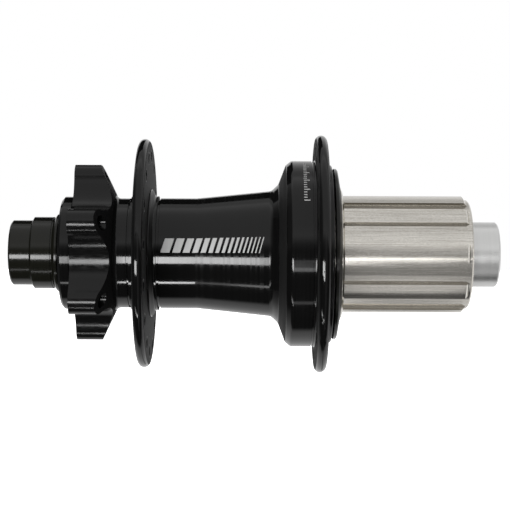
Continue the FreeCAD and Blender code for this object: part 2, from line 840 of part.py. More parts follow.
def chamfer_spoke_holes(body):
    feature = body.Tip
    names = [
        f"Edge{number}"
        for number, edge in enumerate(feature.Shape.Edges, start=1)
        if isinstance(edge.Curve, Part.Circle) and abs(edge.Curve.Radius - d.spoke_hole_r.value) < 1e-6
    ]
    chamfer = body.newObject("PartDesign::Chamfer", "spoke_hole_chamfers")
    chamfer.Base = (feature, names)
    chamfer.setExpression("Size", d.spoke_hole_chamfer.text)
    doc.recompute()


def build_hub_shell():
    body = turned_body("hub_shell", shell_corners())
    round_shell_edges(body)
    lug_depth = d.lug_back_end - d.disc_face_x + d.register_groove_width
    half_lug = Size(WHOLE_TURN / 2) / d.lug_count
    cut_round_holes(
        body, "disc_bolt_hole", d.disc_face_x, lug_depth, d.disc_bolt_circle_r, d.disc_bolt_hole_r,
        d.lug_count, d.lug_turn,
    )
    cut_round_holes(
        body, "lug_scallop", d.disc_face_x, lug_depth, d.scallop_centre_r, d.scallop_r,
        d.lug_count, d.lug_turn + half_lug,
    )
    round_lug_ends(body, lug_depth, half_lug)
    flanges = (
        ("left_spoke_hole", d.left_flange_x, d.left_flange_thickness, d.left_spoke_circle_r,
         d.left_spoke_turn),
        ("right_spoke_hole", d.right_flange_x, d.right_flange_thickness, d.right_spoke_circle_r,
         d.right_spoke_turn),
    )
    for name, x, thickness, circle_r, turn in flanges:
        cut_round_holes(
            body, name, x - thickness / 2, thickness, circle_r, d.spoke_hole_r,
            d.spoke_holes_per_flange, turn,
        )
    chamfer_spoke_holes(body)


def build_dust_seal():
    lip_r = d.left_cap_nose_r + d.seal_lip_gap
    turned_body("left_dust_seal", [
        (d.dust_seal_start, d.dust_seal_web_r),
        (d.dust_seal_start, d.shell_bearing_r),
        (d.dust_seal_end, d.shell_bearing_r),
        (d.dust_seal_end, d.dust_seal_web_r),
        (d.dust_seal_lip_end, d.dust_seal_web_r),
        (d.dust_seal_lip_end, lip_r),
        (d.dust_seal_start + d.seal_thickness / 2, lip_r),
    ])


def build_ratchet_ring():
    body = turned_body("ratchet_ring", tube_corners(
        d.ratchet_bore_start, d.ratchet_end, d.tooth_tip_r, d.ratchet_bore_r,
    ))
    pitch = Size(WHOLE_TURN) / d.tooth_count
    face = Size(QUARTER_TURN) - d.tooth_face_turn
    ramp_top = face + d.tooth_root_land
    ramp_foot = face + pitch - d.tooth_tip_land
    clear_r = d.tooth_tip_r * 2 - d.tooth_root_r
    sketch = new_sketch(body, "tooth_gap", "YZ_Plane", d.ratchet_bore_start)
    add_outline(sketch, [
        (clear_r * cosine(face), clear_r * sine(face)),
        (d.tooth_root_r * cosine(face), d.tooth_root_r * sine(face)),
        (d.tooth_root_r * cosine(ramp_top), d.tooth_root_r * sine(ramp_top)),
        (d.tooth_tip_r * cosine(ramp_foot), d.tooth_tip_r * sine(ramp_foot)),
        (clear_r * cosine(ramp_foot), clear_r * sine(ramp_foot)),
    ])
    gap = extrude(body, sketch, d.ratchet_end - d.ratchet_bore_start, cut=True)
    polar_pattern(body, "tooth_gaps", [gap], d.tooth_count)


# ---------------------------------------------------------------- freehub

def freehub_corners():
    inner_face = d.inner_bearing_x + d.slim_bearing_width / 2
    outer_face = d.outer_bearing_x - d.wide_bearing_width / 2
    return [
        (d.carrier_start, d.slim_bearing_r),
        (d.carrier_start, d.carrier_r - d.carrier_chamfer),
        (d.carrier_start + d.carrier_chamfer, d.carrier_r),
        (d.carrier_end - d.carrier_chamfer, d.carrier_r),
        (d.carrier_end, d.carrier_r - d.carrier_chamfer),
        (d.carrier_end, d.freehub_neck_r),
        (d.freehub_shoulder_start, d.freehub_neck_r),
        (d.freehub_shoulder_start, d.freehub_shoulder_r),
        (d.freehub_shoulder_end - d.shoulder_bevel_length, d.freehub_shoulder_r),
        (d.freehub_shoulder_end, d.freehub_shoulder_r - d.shoulder_bevel_drop),
        (d.freehub_shoulder_end, d.spline_r),
        (d.spline_end, d.spline_r),
        (d.spline_chamfer_end, d.spline_root_r),
        (d.freehub_end - d.freehub_end_chamfer, d.spline_root_r),
        (d.freehub_end, d.spline_root_r - d.freehub_end_chamfer),
        (d.freehub_end, d.lockring_bore_r),
        (d.lockring_bore_start, d.lockring_bore_r),
        (d.lockring_bore_start, d.wide_bearing_r),
        (d.clip_groove_end, d.wide_bearing_r),
        (d.clip_groove_end, d.lockring_bore_r),
        (d.clip_groove_start, d.lockring_bore_r),
        (d.clip_groove_start, d.wide_bearing_r),
        (outer_face, d.wide_bearing_r),
        (outer_face, d.freehub_bore_r),
        (inner_face, d.freehub_bore_r),
        (inner_face, d.slim_bearing_r),
    ]


def cut_spline_groove(body, name, start, turn):
    sketch = new_sketch(body, name, "YZ_Plane", d.freehub_shoulder_end)
    add_sector(sketch, d.spline_root_r, d.freehub_shoulder_r, start + QUARTER_TURN, turn)
    return extrude(body, sketch, d.freehub_end - d.freehub_shoulder_end, cut=True)


def pawl_points():
    """Corners of a pawl in the YZ plane with its pivot straight above the axle, nose towards +Y."""
    def from_pivot(reach, angle):
        return (reach * cosine(angle), d.pawl_pivot_r + reach * sine(angle))

    top_tangent = d.pawl_back_angle + arc_cosine(d.pawl_heel_r / d.pawl_back_reach)
    low_tangent = d.pawl_toe_angle - arc_cosine(d.pawl_heel_r / d.pawl_toe_reach)
    return [
        from_pivot(d.pawl_heel_r, top_tangent),
        from_pivot(d.pawl_back_reach, d.pawl_back_angle),
        from_pivot(d.pawl_nose_reach, d.pawl_nose_angle),
        from_pivot(d.pawl_toe_reach, d.pawl_toe_angle),
        from_pivot(d.pawl_heel_r, low_tangent),
    ]


def cut_pawl_pockets(body):
    """Each pocket is a round socket for the pawl's heel and a trough for its arm."""
    start = d.pawl_start - d.pawl_play
    length = d.pawl_width + d.pawl_play * 2
    socket_r = d.pawl_heel_r + d.pawl_heel_clearance
    sketch = new_sketch(body, "pawl_socket", "YZ_Plane", start)
    add_circle(sketch, 0.0, d.pawl_pivot_r, socket_r)
    socket = extrude(body, sketch, length, cut=True)
    polar_pattern(body, "pawl_sockets", [socket], d.pawl_count)
    trough = new_sketch(body, "pawl_trough", "YZ_Plane", start)
    add_outline(trough, [
        (-socket_r, d.pawl_pivot_r),
        (-socket_r, d.pawl_pivot_r + d.pocket_top),
        (d.pocket_front, d.pawl_pivot_r + d.pocket_top),
        (d.pocket_front, d.pawl_pivot_r - d.pocket_front_depth),
        (socket_r * cosine(d.pocket_floor_angle), d.pawl_pivot_r - socket_r * sine(d.pocket_floor_angle)),
    ])
    arm = extrude(body, trough, length, cut=True)
    polar_pattern(body, "pawl_troughs", [arm], d.pawl_count)


def build_freehub_body():
    body = turned_body("freehub_body", freehub_corners())
    groove = cut_spline_groove(body, "spline_groove", d.first_groove_start, d.wide_groove_turn)
    spread = d.spline_pitch * (d.wide_groove_count - 1)
    polar_pattern(body, "spline_grooves", [groove], d.wide_groove_count, spread)
    cut_spline_groove(body, "index_groove", d.narrow_groove_start, d.narrow_groove_turn)
    cut_pawl_pockets(body)


def build_freehub_trim():
    turned_body("freehub_shield", [
        (d.shield_start, d.freehub_neck_r),
        (d.shield_start, d.shield_r),
        (d.shield_rim_end - d.shield_corner, d.shield_r),
        (d.shield_rim_end, d.shield_r - d.shield_corner),
        (d.freehub_shoulder_start, d.freehub_shoulder_r),
        (d.freehub_shoulder_start, d.freehub_neck_r),
    ])
    turned_body("freehub_lip_seal", [
        (d.lip_seal_start, d.freehub_neck_r),
        (d.lip_seal_start, d.lip_seal_body_r),
        (d.lip_seal_tip_start, d.lip_seal_body_r),
        (d.lip_seal_tip_start, d.lip_seal_r),
        (d.lip_seal_tip_end, d.lip_seal_r),
        (d.lip_seal_end, d.lip_seal_body_r),
        (d.lip_seal_end, d.freehub_neck_r),
    ])
    clip = turned_body("freehub_retaining_ring", tube_corners(
        d.clip_groove_start + d.clip_play,
        d.clip_groove_end - d.clip_play,
        d.clip_inner_r,
        d.clip_r,
    ))
    sketch = new_sketch(clip, "gap", "YZ_Plane", d.clip_groove_start)
    add_outline(sketch, [
        (-d.clip_gap / 2, -d.clip_r - d.clip_gap),
        (d.clip_gap / 2, -d.clip_r - d.clip_gap),
        (d.clip_gap / 2, -d.clip_gap),
        (-d.clip_gap / 2, -d.clip_gap),
    ])
    extrude(clip, sketch, d.clip_groove_end - d.clip_groove_start, cut=True)


# ---------------------------------------------------------------- pawls and their springs

def build_pawl(number, turn):
    placement = FreeCAD.Placement(FreeCAD.Vector(0, 0, 0), FreeCAD.Rotation(FreeCAD.Vector(1, 0, 0), -turn))
    pawl = new_body(f"pawl_{number}")
    heel = new_sketch(pawl, "heel", "YZ_Plane", d.pawl_start)
    add_circle(heel, 0.0, d.pawl_pivot_r, d.pawl_heel_r)
    extrude(pawl, heel, d.pawl_width)
    arm = new_sketch(pawl, "arm", "YZ_Plane", d.pawl_start)
    add_outline(arm, pawl_points())
    extrude(pawl, arm, d.pawl_width)
    pawl.Placement = placement

    spring = new_body(f"pawl_spring_{number}")
    leaf = new_sketch(spring, "leaf", "YZ_Plane", d.pawl_start + (d.pawl_width - d.leaf_width) / 2)
    base = d.pawl_pivot_r
    add_outline(leaf, [
        (d.leaf_heel, base - d.leaf_heel_drop),
        (d.leaf_foot_end, base - d.leaf_foot_drop),
        (d.leaf_foot_end, base - d.leaf_foot_drop + d.leaf_thickness),
        (d.leaf_fold, base - d.leaf_fold_drop),
        (d.leaf_arm_end, base + d.leaf_arm_rise - d.leaf_thickness),
        (d.leaf_arm_end, base + d.leaf_arm_rise),
        (d.leaf_heel, base - d.leaf_heel_drop + d.leaf_thickness),
    ])
    extrude(spring, leaf, d.leaf_width)
    spring.Placement = placement


def build_pawls():
    count = int(d.pawl_count.value)
    for place in range(count):
        build_pawl(place + 1, WHOLE_TURN / count * place)


# ---------------------------------------------------------------- checks and files

def check_and_write():
    doc.recompute()
    for item in doc.Objects:
        if "Invalid" in item.State or "Error" in item.State:
            raise RuntimeError(f"{item.Label} failed: {item.State}")
    os.makedirs("parts", exist_ok=True)
    for node in nodes:
        shape = node.Shape
        if shape.isNull() or not shape.isValid() or not shape.Solids:
            raise RuntimeError(f"{node.Label} has no valid solid")
        shape.exportStep(f"parts/{node.Label}.step")
        print(f"{node.Label}: {len(shape.Solids)} solids, {shape.Volume:.1f} mm3")
    print(f"{len(nodes)} nodes written")


build_axle()
build_end_caps()
build_sleeves()
for bearing_place in BEARING_KINDS:
    build_bearing(bearing_place)
build_hub_shell()
build_dust_seal()
build_ratchet_ring()
build_freehub_body()
build_freehub_trim()
build_pawls()
check_and_write()
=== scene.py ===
import json
import math

import bmesh
import bpy
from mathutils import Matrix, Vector
from mathutils.bvhtree import BVHTree


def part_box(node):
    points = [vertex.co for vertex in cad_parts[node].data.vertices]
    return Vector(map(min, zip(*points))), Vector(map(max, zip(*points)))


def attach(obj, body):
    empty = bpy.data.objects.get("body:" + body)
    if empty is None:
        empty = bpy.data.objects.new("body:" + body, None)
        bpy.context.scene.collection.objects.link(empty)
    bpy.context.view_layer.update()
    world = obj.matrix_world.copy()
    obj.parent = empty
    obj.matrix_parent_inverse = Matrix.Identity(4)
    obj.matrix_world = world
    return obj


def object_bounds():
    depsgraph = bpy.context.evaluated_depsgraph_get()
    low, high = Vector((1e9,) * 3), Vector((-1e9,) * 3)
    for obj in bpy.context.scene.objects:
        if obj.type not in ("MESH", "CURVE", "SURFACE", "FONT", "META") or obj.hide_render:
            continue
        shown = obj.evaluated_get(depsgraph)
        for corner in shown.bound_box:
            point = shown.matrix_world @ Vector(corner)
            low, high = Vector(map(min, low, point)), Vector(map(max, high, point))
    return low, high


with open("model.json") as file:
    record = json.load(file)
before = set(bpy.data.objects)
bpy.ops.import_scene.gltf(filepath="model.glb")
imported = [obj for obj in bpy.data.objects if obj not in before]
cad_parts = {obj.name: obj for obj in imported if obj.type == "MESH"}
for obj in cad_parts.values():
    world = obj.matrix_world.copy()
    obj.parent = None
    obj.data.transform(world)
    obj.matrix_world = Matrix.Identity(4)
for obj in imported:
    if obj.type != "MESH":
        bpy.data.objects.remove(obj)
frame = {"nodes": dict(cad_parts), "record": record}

# A rear bicycle hub lying along X on a pale floor, seen from the side. Everything is in metres.
# The frame's nodes keep their shapes and get materials by slot. The added pieces are the etched marks.

MM = 0.001
MICRON = 0.001 * MM
CAD_LOW, CAD_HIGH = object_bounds()
WHITE = (1.0, 1.0, 1.0, 1.0)

# Places on the shell: the x where the disc lugs end, the radius at their feet, and the x range of the
# tapered part of the waist.
LUG_BACK = -39.5 * MM
LUG_FOOT = 17.6 * MM
CONE = (-16.8 * MM, 4.9 * MM)

# The darkest and lightest colour of a finish. On the freehub, the darkest steel colour is also painted
# shade on the spline walls.
OLIVE_TONES = (0.0055, 0.0056, 0.004), (0.0095, 0.0095, 0.007)
STEEL_TONES = (0.46, 0.436, 0.39), (1.0, 0.965, 0.90)


# ---------------------------------------------------------------- node materials

class Graph:
    """A node tree, and short ways to add nodes to it and join them."""

    def __init__(self, tree):
        self.tree = tree

    def add(self, kind, inputs=None, **properties):
        node = self.tree.nodes.new(kind)
        for name, value in properties.items():
            setattr(node, name, value)
        for key, value in (inputs or {}).items():
            self.feed(node.inputs[key], value)
        return node

    def feed(self, socket, value):
        """Join an output to the socket, or give the socket a plain value."""
        if isinstance(value, bpy.types.NodeSocket):
            self.tree.links.new(value, socket)
        else:
            socket.default_value = value

    def math(self, operation, *values):
        """The result of an operation on one or more outputs or values."""
        return self.add("ShaderNodeMath", dict(enumerate(values)), operation=operation).outputs[0]

    def parts(self, vector):
        """The x, y and z of a vector, as three outputs."""
        return self.add("ShaderNodeSeparateXYZ", {0: vector}).outputs

    def between(self, factor, low, high, start=0.3, end=0.7):
        """A number from low to high as the factor goes from start to end."""
        inputs = {0: factor, 1: start, 2: end, 3: low, 4: high}
        return self.add("ShaderNodeMapRange", inputs, interpolation_type="SMOOTHSTEP").outputs[0]


class Shader(Graph):
    """A material with a Principled surface. The constants are its sockets' values."""

    def __init__(self, name, **constants):
        self.material = bpy.data.materials.new(name)
        self.material.use_nodes = True
        super().__init__(self.material.node_tree)
        self.surface = self.tree.nodes["Principled BSDF"]
        for socket, value in constants.items():
            self.surface.inputs[socket.replace("_", " ")].default_value = value

    def point(self):
        """The surface point in the row frame."""
        return self.add("ShaderNodeTexCoord").outputs["Object"]

    def place(self):
        """The x, y and z of the surface point, as three outputs."""
        return self.parts(self.point())

    def normal(self):
        """The x, y and z of the surface's direction, as three outputs."""
        return self.parts(self.add("ShaderNodeTexCoord").outputs["Normal"])

    def combine(self, x, y, z):
        return self.add("ShaderNodeCombineXYZ", {0: x, 1: y, 2: z}).outputs[0]

    def radius(self):
        """Distance of the surface point from the axle line."""
        squares = [self.math("MULTIPLY", side, side) for side in self.place()[1:]]
        return self.math("SQRT", self.math("ADD", *squares))

    def faced(self):
        """0 on surfaces that lie along the axle, 1 on faces that are square to it."""
        return self.between(self.math("ABSOLUTE", self.normal()[0]), 0.0, 1.0, start=0.75, end=0.97)

    def within(self, value, low, high, soft=0.05 * MM):
        """1 where the value lies from low to high, 0 outside."""
        above = self.between(value, 0.0, 1.0, start=low - soft, end=low + soft)
        below = self.between(value, 1.0, 0.0, start=high - soft, end=high + soft)
        return self.math("MULTIPLY", above, below)

    def outward(self):
        """1 on surfaces that face away from the axle line, 0 on walls and end faces."""
        pairs = zip(self.normal()[1:], self.place()[1:])
        steep = self.math("ADD", *[self.math("MULTIPLY", a, b) for a, b in pairs])
        return self.math("DIVIDE", steep, self.radius())

    def blend(self, factor, low, high):
        """A number from one output or value to another, as the factor goes from 0 to 1."""
        return self.add("ShaderNodeMix", {0: factor, 2: low, 3: high}).outputs[0]

    def turned(self):
        """A coordinate that is the same all the way round the axle, as a lathe's marks are."""
        return self.combine(self.place()[0], self.radius(), 0.0)

    def drawn(self, stretch):
        """A coordinate drawn out along X, as a broach's or a grinding wheel's marks are."""
        x, y, z = self.place()
        return self.combine(self.math("DIVIDE", x, stretch), y, z)

    def noise(self, vector, size, detail=2.0, roughness=0.5):
        """Noise whose largest spots are about the given size, in metres."""
        inputs = {"Vector": vector, "Scale": 1.0 / size, "Detail": detail, "Roughness": roughness}
        return self.add("ShaderNodeTexNoise", inputs).outputs[0]

    def tint(self, factor, low, high):
        """A colour from low to high as the factor goes from 0 to 1."""
        ramp = self.add("ShaderNodeValToRGB", {0: factor})
        ramp.color_ramp.elements[0].color = (*low, 1.0)
        ramp.color_ramp.elements[1].color = (*high, 1.0)
        return ramp.outputs[0]

    def look(self, factor, dull, bright, smooth, rough):
        """Colour and roughness that follow the same factor."""
        self.feed(self.surface.inputs["Base Color"], self.tint(factor, dull, bright))
        self.feed(self.surface.inputs["Roughness"], self.between(factor, smooth, rough))

    def relief(self, height, distance, edge=None):
        """Bump from a height, over edges that are rounded by the radius edge, in metres."""
        inputs = {"Height": height, "Distance": distance}
        if edge is not None:
            inputs["Normal"] = self.add("ShaderNodeBevel", {"Radius": edge}, samples=4).outputs[0]
        self.feed(self.surface.inputs["Normal"], self.add("ShaderNodeBump", inputs).outputs[0])

    def around(self):
        """Gloss that is drawn out across the lathe's marks."""
        tangent = self.add("ShaderNodeTangent", direction_type="RADIAL", axis="X").outputs[0]
        self.feed(self.surface.inputs["Tangent"], tangent)


def gloss_black():
    """Polished, black anodised aluminium, a little duller on the cone and the lugs, and dull on faces."""
    shader = Shader("gloss_black_anodised", IOR=1.40)
    rings = shader.noise(shader.turned(), 0.35 * MM, detail=4.0, roughness=0.7)
    cutter = shader.noise(shader.drawn(6.0), 0.4 * MM, detail=3.0, roughness=0.6)
    x = shader.place()[0]
    lugs = shader.within(x, CAD_LOW.x, LUG_BACK)
    milled = shader.math("MULTIPLY", lugs, shader.within(shader.radius(), LUG_FOOT, CAD_HIGH.z))
    lathe = shader.noise(shader.turned(), 0.55 * MM, detail=3.0)
    cone = shader.within(x, *CONE)
    polish = shader.blend(cone, shader.between(rings, 0.05, 0.12), shader.between(lathe, 0.04, 0.18))
    polish = shader.blend(milled, polish, shader.between(cutter, 0.1, 0.22))
    polish = shader.blend(shader.faced(), polish, shader.between(rings, 0.66, 0.8))
    shader.feed(shader.surface.inputs["Roughness"], polish)
    shader.feed(shader.surface.inputs["Base Color"], shader.tint(rings, (0.0025,) * 3, (0.006,) * 3))
    shader.relief(shader.blend(milled, rings, cutter), 0.6 * MICRON, edge=0.1 * MM)
    return shader.material


def olive_black():
    """Satin, dark olive-black anodised aluminium, turned, with duller faces."""
    shader = Shader("olive_black_anodised", IOR=1.40)
    rings = shader.noise(shader.turned(), 0.25 * MM, detail=3.0, roughness=0.6)
    polish = shader.blend(shader.faced(), shader.between(rings, 0.1, 0.17), 0.5)
    shader.feed(shader.surface.inputs["Roughness"], polish)
    shader.feed(shader.surface.inputs["Base Color"], shader.tint(rings, *OLIVE_TONES))
    shader.relief(rings, 0.8 * MICRON, edge=0.1 * MM)
    return shader.material


def silver_aluminium():
    """Satin, clear anodised aluminium with fine lathe marks all the way round."""
    shader = Shader("silver_aluminium", Metallic=1.0, Anisotropic=0.2)
    rings = shader.noise(shader.turned(), 0.3 * MM, detail=4.0, roughness=0.65)
    shader.look(rings, (0.76, 0.76, 0.75), (0.86, 0.86, 0.85), 0.28, 0.34)
    shader.relief(rings, 0.3 * MICRON, edge=0.1 * MM)
    shader.around()
    return shader.material


def axle_aluminium():
    """Plain turned aluminium, duller than the caps."""
    shader = Shader("axle_aluminium", Metallic=1.0, Anisotropic=0.3)
    rings = shader.noise(shader.turned(), 0.4 * MM, detail=3.0)
    shader.look(rings, (0.55, 0.56, 0.58), (0.68, 0.69, 0.71), 0.3, 0.42)
    shader.relief(rings, 2.0 * MICRON)
    shader.around()
    return shader.material


def freehub_steel():
    """Nickel-plated steel, cut along the splines: bright bands and streaks broken up by a fine grain, with
    painted shade that darkens the spline walls and end faces.
    """
    shader = Shader("freehub_steel", Metallic=1.0)
    streaks = shader.noise(shader.drawn(40.0), 0.4 * MM, detail=4.0, roughness=0.65)
    grain = shader.noise(shader.point(), 0.2 * MM, detail=3.0, roughness=0.7)
    bands = shader.noise(shader.drawn(60.0), 1.6 * MM, detail=3.0, roughness=0.6)
    mix = shader.blend(0.5, shader.blend(0.4, streaks, bands), grain)
    # Painted shade: the spline walls and end faces, which do not face outwards, are painted towards the
    # darkest steel colour.
    painted_wall_shade = shader.between(shader.outward(), 0.0, 1.0, start=0.15, end=0.5)
    grain_and_wall_shade = shader.math("MULTIPLY", shader.between(mix, 0.0, 1.0, start=0.32, end=0.68), painted_wall_shade)
    shader.feed(shader.surface.inputs["Base Color"], shader.tint(grain_and_wall_shade, *STEEL_TONES))
    shader.feed(shader.surface.inputs["Roughness"], shader.between(mix, 0.1, 0.2))
    shader.relief(mix, 1.3 * MICRON, edge=0.04 * MM)
    return shader.material


def hardened_steel():
    """Dark hardened steel with ground faces."""
    shader = Shader("hardened_steel", Metallic=1.0)
    streaks = shader.noise(shader.drawn(20.0), 0.3 * MM, detail=3.0)
    shader.look(streaks, (0.22, 0.21, 0.2), (0.36, 0.35, 0.33), 0.28, 0.4)
    shader.relief(streaks, 2.0 * MICRON)
    return shader.material


def bearing_steel():
    """Ground and polished bearing steel."""
    shader = Shader("bearing_steel", Metallic=1.0)
    rings = shader.noise(shader.turned(), 0.15 * MM, detail=2.0)
    shader.look(rings, (0.58, 0.57, 0.56), (0.66, 0.65, 0.64), 0.08, 0.16)
    shader.relief(rings, 0.3 * MICRON)
    return shader.material


def cage_steel():
    """Pressed steel sheet."""
    shader = Shader("cage_steel", Metallic=1.0)
    cloud = shader.noise(shader.point(), 0.5 * MM, detail=3.0)
    shader.look(cloud, (0.42, 0.4, 0.36), (0.55, 0.52, 0.48), 0.3, 0.45)
    shader.relief(cloud, 3.0 * MICRON)
    return shader.material


def spring_steel():
    """Heat-blued spring steel, with the straw and blue of tempering."""
    shader = Shader("spring_steel", Metallic=1.0)
    cloud = shader.noise(shader.point(), 2.0 * MM, detail=3.0)
    shader.look(cloud, (0.16, 0.19, 0.27), (0.36, 0.31, 0.24), 0.25, 0.35)
    shader.relief(cloud, 1.0 * MICRON)
    return shader.material


def seal_rubber():
    """Matt black moulded rubber with fine moulding rings and a little dust."""
    shader = Shader("seal_rubber", IOR=1.52)
    rings = shader.noise(shader.turned(), 0.5 * MM, detail=2.0)
    dust = shader.noise(shader.point(), 0.3 * MM, detail=4.0, roughness=0.8)
    shader.look(dust, (0.008, 0.008, 0.008), (0.035, 0.034, 0.032), 0.5, 0.65)
    shader.relief(rings, 6.0 * MICRON)
    return shader.material


def etched_grey():
    """Light grey marks burnt through the black film by a laser, line by line."""
    shader = Shader("etched_grey", IOR=1.46)
    lines = shader.noise(shader.turned(), 0.12 * MM, detail=2.0)
    shader.look(lines, (0.38, 0.38, 0.38), (0.58, 0.58, 0.57), 0.4, 0.6)
    shader.relief(lines, 2.0 * MICRON)
    return shader.material


FINISHES = {
    "gloss_black_anodised": gloss_black,
    "olive_black_anodised": olive_black,
    "silver_aluminium": silver_aluminium,
    "axle_aluminium": axle_aluminium,
    "freehub_steel": freehub_steel,
    "hardened_steel": hardened_steel,
    "bearing_steel": bearing_steel,
    "cage_steel": cage_steel,
    "spring_steel": spring_steel,
    "seal_rubber": seal_rubber,
}


def finish_cad_nodes():
    """Give every node of the frame the material of its slot."""
    made = {slot: build() for slot, build in FINISHES.items()}
    for part in frame["record"]["subparts"]:
        piece = frame["nodes"][part["node"]]
        piece.material_slots[0].material = made[part["material_slot"]]


# ---------------------------------------------------------------- meshes

def add_object(name, mesh, material):
    """A new object in the scene from a bmesh, which is freed."""
    data = bpy.data.meshes.new(name)
    mesh.to_mesh(data)
    mesh.free()
    data.materials.append(material)
    thing = bpy.data.objects.new(name, data)
    bpy.context.scene.collection.objects.link(thing)
    return thing


# ---------------------------------------------------------------- etched marks

# A mark is a thin plate, sunk a little into the skin and divided so that it bends with it.
MARK_THICKNESS = 0.06 * MM
MARK_SINK = 0.03 * MM
MARK_ALONG, MARK_ACROSS = 8, 4


class Skin:
    """The outside of a turned CAD node, for laying flat marks on it."""

    def __init__(self, node):
        mesh = bmesh.new()
        mesh.from_mesh(frame["nodes"][node].data)
        self.tree = BVHTree.FromBMesh(mesh)
        mesh.free()
        self.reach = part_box(node)[1].z * 1.5  # rays start well outside the node

    def point(self, x, turn, lift):
        """The outside point at x, turned from -Y towards +Z by turn radians, raised by lift."""
        out = Vector((0.0, -math.cos(turn), math.sin(turn)))
        start = Vector((x, 0.0, 0.0)) + out * self.reach
        hit = self.tree.ray_cast(start, -out)[0]
        return hit + out * lift


def part_way(start, end, share):
    """The place that lies a share of the way from one (x, turn) place to another."""
    return [a + (b - a) * share for a, b in zip(start, end)]


def add_layer(mesh, skin, corners, lift):
    """A grid of points on the skin, raised by lift, between four (x, turn) corners."""
    grid = []
    for i in range(MARK_ALONG + 1):
        low = part_way(corners[0], corners[1], i / MARK_ALONG)
        high = part_way(corners[3], corners[2], i / MARK_ALONG)
        places = [part_way(low, high, j / MARK_ACROSS) for j in range(MARK_ACROSS + 1)]
        grid.append([mesh.verts.new(skin.point(x, turn, lift)) for x, turn in places])
    return grid


def add_mark(mesh, skin, corners):
    """A thin plate that follows the skin. Corners are four (x, turn) places, in order round it."""
    bottom = add_layer(mesh, skin, corners, -MARK_SINK)
    top = add_layer(mesh, skin, corners, MARK_THICKNESS - MARK_SINK)
    for i in range(MARK_ALONG):
        for j in range(MARK_ACROSS):
            mesh.faces.new((top[i][j], top[i + 1][j], top[i + 1][j + 1], top[i][j + 1]))
            mesh.faces.new((bottom[i][j], bottom[i][j + 1], bottom[i + 1][j + 1], bottom[i + 1][j]))
    rim = [(i, 0) for i in range(MARK_ALONG)]
    rim += [(MARK_ALONG, j) for j in range(MARK_ACROSS)]
    rim += [(i, MARK_ACROSS) for i in range(MARK_ALONG, 0, -1)]
    rim += [(0, j) for j in range(MARK_ACROSS, 0, -1)]
    for (i, j), (m, n) in zip(rim, rim[1:] + rim[:1]):
        mesh.faces.new((bottom[i][j], bottom[m][n], top[m][n], top[i][j]))


def add_marks(name, mesh, material):
    """A piece made of marks, which turns with the shell."""
    bmesh.ops.recalc_face_normals(mesh, faces=mesh.faces)
    piece = add_object(name, mesh, material)
    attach(piece, "shell")


def add_waist_marks(skin, material):
    """A plain row of leaning bars along the waist, each thinner than the one before."""
    x, end = -26.6 * MM, 3.6 * MM
    width, narrowing = 2.6 * MM, 0.86
    gap = 0.75 * MM
    lean = 1.3 * MM
    low, high = math.radians(0.5), math.radians(15.0)
    mesh = bmesh.new()
    while x + width + lean < end:
        add_mark(mesh, skin, [(x, low), (x + lean, high), (x + width + lean, high), (x + width, low)])
        x += width + gap
        width *= narrowing
    add_marks("waist_marks", mesh, material)


def add_housing_marks(skin, material):
    """A short scale of fine strokes round the ratchet housing."""
    start = 13.9 * MM
    short, long, every = 0.9 * MM, 1.7 * MM, 4
    stroke = math.radians(0.75)
    first, last, count = math.radians(33.0), math.radians(72.0), 20
    mesh = bmesh.new()
    for number in range(count):
        turn = first + (last - first) * number / (count - 1)
        end = start + (short if number % every else long)
        add_mark(mesh, skin, [(start, turn), (start, turn + stroke), (end, turn + stroke), (end, turn)])
    add_marks("housing_marks", mesh, material)


# ---------------------------------------------------------------- studio

STUDIO_RADIUS = 1.0


def around_axle(x, elevation):
    """The place in the studio at x and at an elevation in degrees, from the camera's side upwards."""
    angle = math.radians(elevation)
    return Vector((x, -STUDIO_RADIUS * math.cos(angle), STUDIO_RADIUS * math.sin(angle)))


def width_of(spread):
    """How wide a flat thing in the studio is that spreads over so many degrees, seen from the hub."""
    return 2 * STUDIO_RADIUS * math.tan(math.radians(spread / 2))


def add_strip(name, elevation, spread, radiance, start, end):
    """A strip light parallel to the axle, from start to end along X, that faces the hub."""
    light = bpy.data.lights.new(name, "AREA")
    light.shape = "RECTANGLE"
    light.size = end - start
    light.size_y = width_of(spread)
    light.energy = radiance * math.pi * light.size * light.size_y
    lamp = bpy.data.objects.new(name, light)
    middle = (start + end) / 2
    lamp.location = around_axle(middle, elevation)
    lamp.rotation_euler = (Vector((middle, 0, 0)) - lamp.location).to_track_quat("-Z", "Y").to_euler()
    lamp.visible_camera = False
    bpy.context.scene.collection.objects.link(lamp)


# How bright the tent round the hub is, by the angle in degrees from the camera's side upwards.
TENT = [
    (-180, 0.85),
    (-112, 0.8),
    (-104, 0.02),
    (-8, 0.02),
    (4, 0.04),
    (12, 0.2),
    (22, 0.75),
    (36, 0.65),
    (88, 0.65),
    (106, 0.85),
    (112, 0.5),
    (120, 0.42),
    (130, 0.5),
    (144, 0.68),
    (153, 0.72),
    (180, 0.85),
]

# The tent is dim towards the left end: how bright it is there, and the x of a direction where it fades.
TENT_END_LEVEL = 0.12
TENT_FADE = (-0.85, -0.45)

